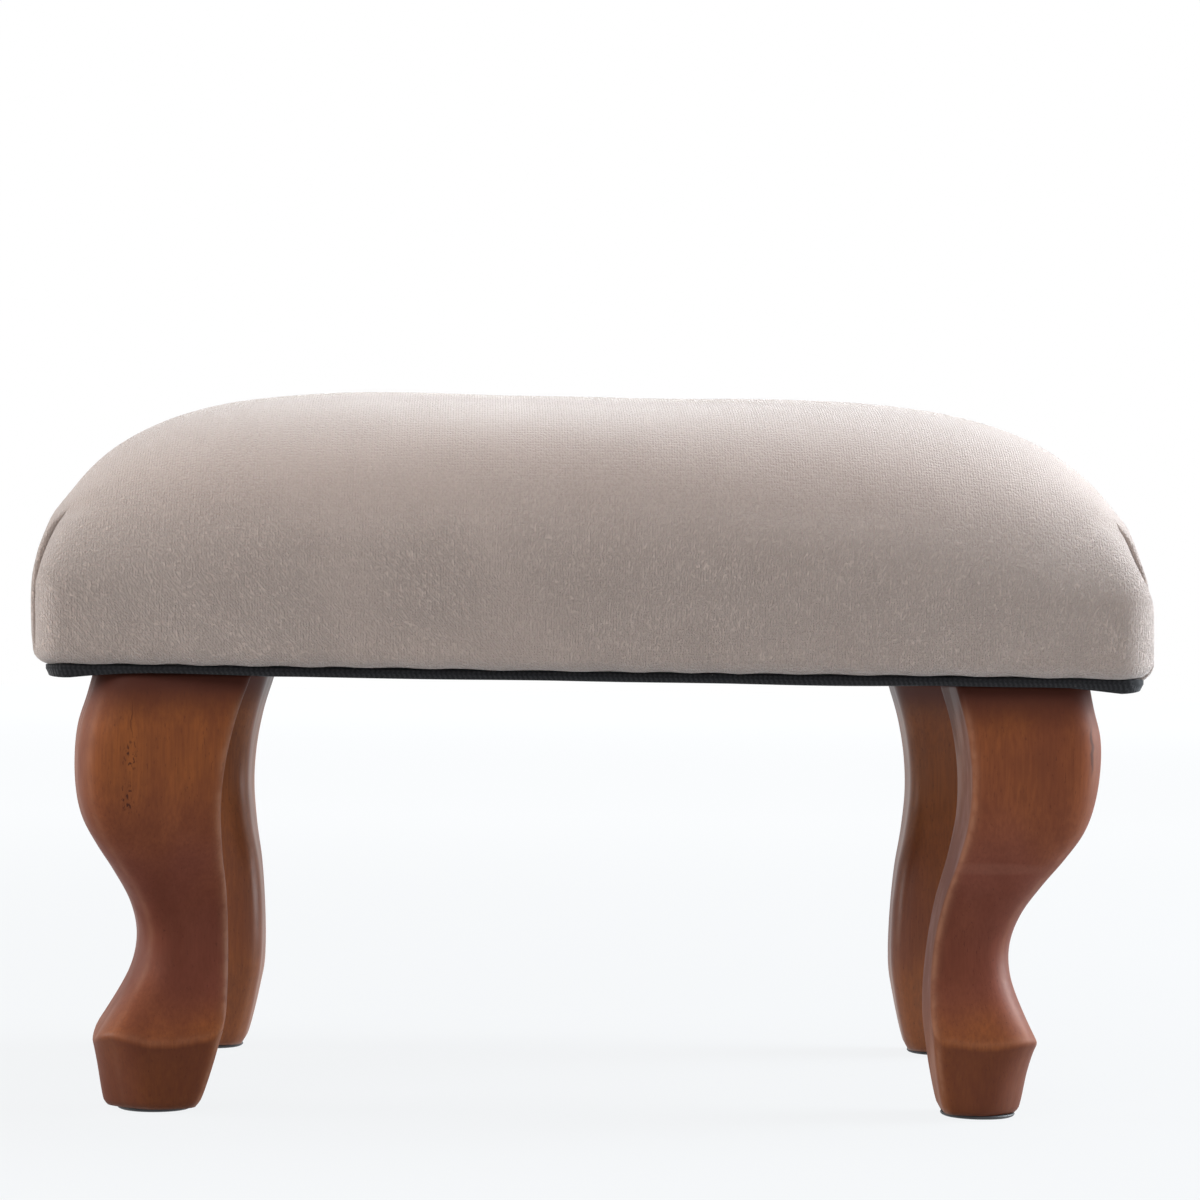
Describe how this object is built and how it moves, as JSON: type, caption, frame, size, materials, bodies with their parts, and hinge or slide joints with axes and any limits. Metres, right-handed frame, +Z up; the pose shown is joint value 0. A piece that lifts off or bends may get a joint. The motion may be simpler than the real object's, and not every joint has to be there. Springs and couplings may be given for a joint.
{
  "type": "upholstered footstool",
  "caption": "Small footstool with a crowned padded seat, pleated corners, a cloth-covered underside and carved cabriole legs of stained wood.",
  "frame": {"origin": "on the floor, under the middle of the seat", "axes": "+Z up, +X along the seat's width, the front of the stool faces -Y"},
  "size_m": [0.406, 0.28, 0.2643],
  "materials": {
    "cover_plush": "matte short-pile plush, taupe",
    "dust_cloth": "matte non-woven cloth, black",
    "wadding_fibre": "loose polyester fibre, white",
    "foam": "open-cell upholstery foam, cream",
    "plywood": "plain sanded plywood",
    "frame_timber": "planed softwood, unfinished",
    "leg_wood": "stained reddish brown, satin lacquer",
    "glide_plastic": "moulded, dark grey",
    "fastener_steel": "zinc plated"
  },
  "bodies": {
    "root": {"seat_cover": "cover_plush", "dust_cover": "dust_cloth", "seat_wadding": "wadding_fibre", "foam_pad": "foam", "seat_deck": "plywood", "rail_front": "frame_timber", "rail_back": "frame_timber", "rail_left": "frame_timber", "rail_right": "frame_timber", "corner_block_front_left": "frame_timber", "corner_block_front_right": "frame_timber", "corner_block_back_left": "frame_timber", "corner_block_back_right": "frame_timber", "leg_front_left": "leg_wood", "leg_front_right": "leg_wood", "leg_back_left": "leg_wood", "leg_back_right": "leg_wood", "foot_glide_front_left": "glide_plastic", "foot_glide_front_right": "glide_plastic", "foot_glide_back_left": "glide_plastic", "foot_glide_back_right": "glide_plastic", "hanger_bolt_front_left": "fastener_steel", "hanger_bolt_front_right": "fastener_steel", "hanger_bolt_back_left": "fastener_steel", "hanger_bolt_back_right": "fastener_steel", "t_nut_front_left": "fastener_steel", "t_nut_front_right": "fastener_steel", "t_nut_back_left": "fastener_steel", "t_nut_back_right": "fastener_steel", "joint_screw_front_left": "fastener_steel", "joint_screw_front_right": "fastener_steel", "joint_screw_back_left": "fastener_steel", "joint_screw_back_right": "fastener_steel", "block_screw_front_left_long_rail": "fastener_steel", "block_screw_front_left_short_rail": "fastener_steel", "block_screw_front_right_long_rail": "fastener_steel", "block_screw_front_right_short_rail": "fastener_steel", "block_screw_back_left_long_rail": "fastener_steel", "block_screw_back_left_short_rail": "fastener_steel", "block_screw_back_right_long_rail": "fastener_steel", "block_screw_back_right_short_rail": "fastener_steel", "deck_screw_1": "fastener_steel", "deck_screw_2": "fastener_steel", "deck_screw_3": "fastener_steel", "deck_screw_4": "fastener_steel", "deck_screw_5": "fastener_steel", "deck_screw_6": "fastener_steel", "deck_screw_7": "fastener_steel", "deck_screw_8": "fastener_steel"}
  },
  "joints": []
}
